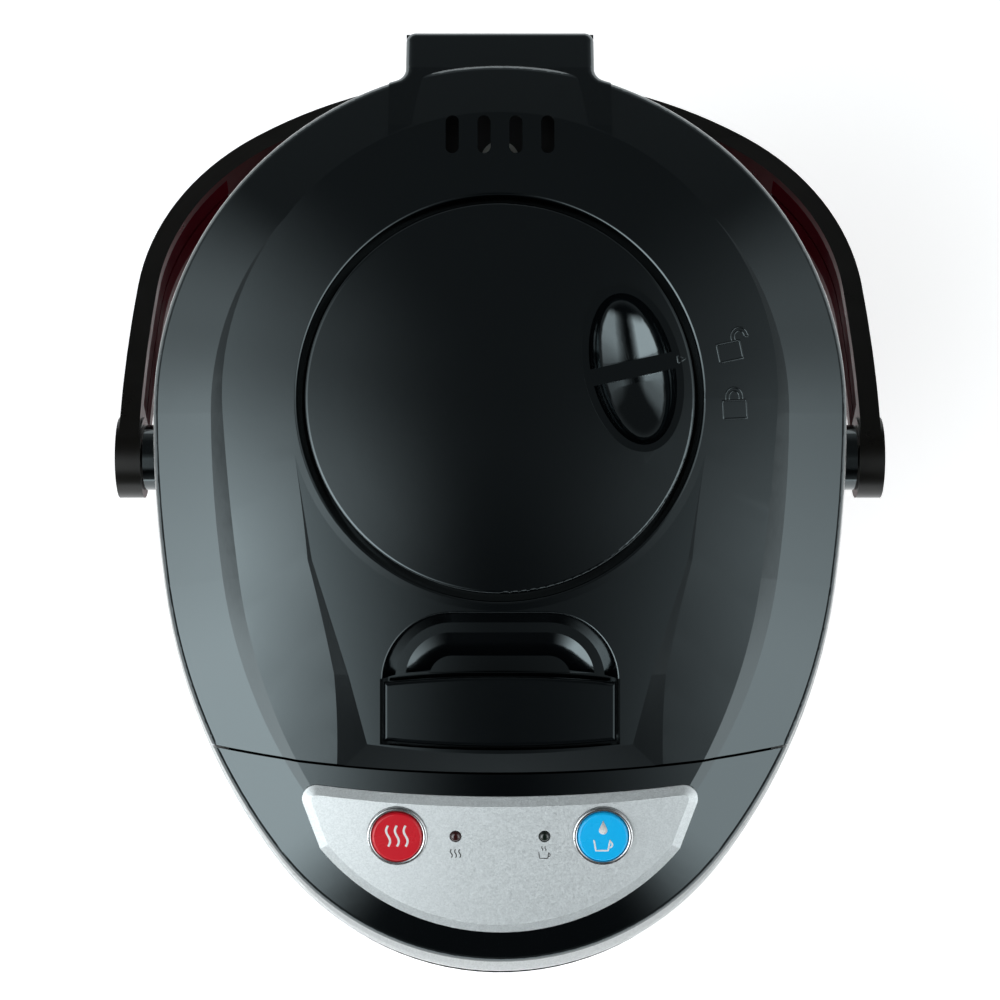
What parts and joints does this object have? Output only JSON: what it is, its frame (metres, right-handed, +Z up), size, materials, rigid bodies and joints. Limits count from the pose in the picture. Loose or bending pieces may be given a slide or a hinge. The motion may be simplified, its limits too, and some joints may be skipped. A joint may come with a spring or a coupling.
{
  "type": "electric thermo pot",
  "caption": "Tall insulated hot-water dispenser pot with a hinged lid, press pump disk, lid latch, spout over a cup space, control panel and swinging bail handle.",
  "frame": {"origin": "centre of the foot ring on the surface the pot stands on, below the axis of the round body", "axes": "+Z up; -Y is the front, where the spout and the control panel are; +X is to the right of someone who faces the front"},
  "size_m": [0.2446, 0.2962, 0.29],
  "materials": {
    "black_satin": "fine moulded texture",
    "grey_rubber": "matt",
    "steel": "zinc plated",
    "brass_pins": "plated",
    "board_green": "solder resist",
    "wine_metallic": "metallic lacquer on steel",
    "clear_plastic": "clear",
    "black_gloss": "high gloss piano black",
    "trim_silver": "satin chrome",
    "stainless_polished": "polished",
    "aluminium_cast": "as cast",
    "mica_wrap": "heater tape",
    "grey_plastic": "moulded",
    "white_plastic": "moulded",
    "silicone": "translucent white",
    "silver_paint": "fine metallic silver paint on plastic",
    "red_key": "translucent red over silver",
    "blue_key": "translucent blue over silver",
    "red_lens": "unlit",
    "green_lens": "unlit",
    "stainless": "brushed",
    "maroon_plastic": "satin"
  },
  "bodies": {
    "pot_body": {"base_housing": "black_satin", "base_cover": "black_satin", "foot_ring": "grey_rubber", "base_screws": "steel", "power_inlet": "black_satin", "inlet_pins": "brass_pins", "power_board": "board_green", "outer_case": "wine_metallic", "gauge_window": "clear_plastic", "shoulder_housing": "black_gloss", "hinge_pin": "steel", "handle_pins": "steel", "trim_ring": "trim_silver", "pot_collar": "black_satin", "inner_pot": "stainless_polished", "heater_plate": "aluminium_cast", "keep_warm_band": "mica_wrap", "thermostats": "grey_plastic", "pump_housing": "white_plastic", "pump_motor": "steel", "suction_tube": "silicone", "feed_hose": "silicone", "riser_tube": "clear_plastic", "outlet_hose": "silicone", "spout": "black_satin", "head_top": "black_gloss", "control_panel": "silver_paint", "button_bezels": "trim_silver", "heating_led": "red_lens", "keep_warm_led": "green_lens", "panel_board": "board_green"},
    "lid": {"lid_shell": "black_gloss", "lid_base": "black_satin", "steam_duct": "silicone", "inner_lid": "stainless", "lid_seal": "silicone", "lid_screws": "steel", "latch_pin": "steel", "latch_spring": "steel", "bellows": "white_plastic", "return_spring": "steel"},
    "piston": {"press_piston": "grey_plastic"},
    "disk": {"press_disk": "black_gloss"},
    "latch": {"latch_lever": "black_gloss"},
    "bolt": {"latch_bolt": "grey_plastic"},
    "handle": {"handle_bail": "black_gloss", "handle_inner_cover": "maroon_plastic"},
    "reboil_key": {"reboil_button": "red_key"},
    "dispense_key": {"dispense_button": "blue_key"},
    "rotor": {"pump_rotor": "white_plastic"}
  },
  "joints": [
    {"name": "lid_hinge", "type": "hinge", "parent": "pot_body", "child": "lid", "pos_m": [0, 0.113, 0.253], "axis": [-1, 0, 0], "range_deg": [0, 85]},
    {"name": "handle_swing", "type": "hinge", "parent": "pot_body", "child": "handle", "pos_m": [0, -0.013, 0.24], "axis": [1, 0, 0], "range_deg": [0, 185]},
    {"name": "press_push", "type": "slide", "parent": "lid", "child": "piston", "axis": [0, 0, -1], "range_m": [0, 0.012], "stiffness_N_per_m": 1500, "springref_m": -0.0033, "deforming": ["bellows", "return_spring"]},
    {"name": "press_turn", "type": "hinge", "parent": "piston", "child": "disk", "pos_m": [0, 0.0043, 0.286], "axis": [0, 0, 1], "range_deg": [-15, 0]},
    {"name": "latch_lift", "type": "hinge", "parent": "lid", "child": "latch", "pos_m": [0, -0.0974, 0.284], "axis": [1, 0, 0], "range_deg": [0, 28], "stiffness_Nm_per_rad": 0.05, "springref_deg": -17.19},
    {"name": "bolt_slide", "type": "slide", "parent": "lid", "child": "bolt", "axis": [0, 1, 0], "range_m": [0, 0.0076]},
    {"name": "reboil_press", "type": "slide", "parent": "pot_body", "child": "reboil_key", "axis": [0, 0.1891, -0.982], "range_m": [0, 0.002], "stiffness_N_per_m": 800, "springref_m": -0.001},
    {"name": "dispense_press", "type": "slide", "parent": "pot_body", "child": "dispense_key", "axis": [0, 0.1891, -0.982], "range_m": [0, 0.002], "stiffness_N_per_m": 800, "springref_m": -0.001},
    {"name": "pump_spin", "type": "hinge", "parent": "pot_body", "child": "rotor", "pos_m": [0, -0.056, 0.055], "axis": [0, 0, 1], "continuous": true}
  ],
  "couplings": [
    {"joint": "bolt_slide", "follows": "latch_lift", "m_per_rad": 0.015}
  ]
}
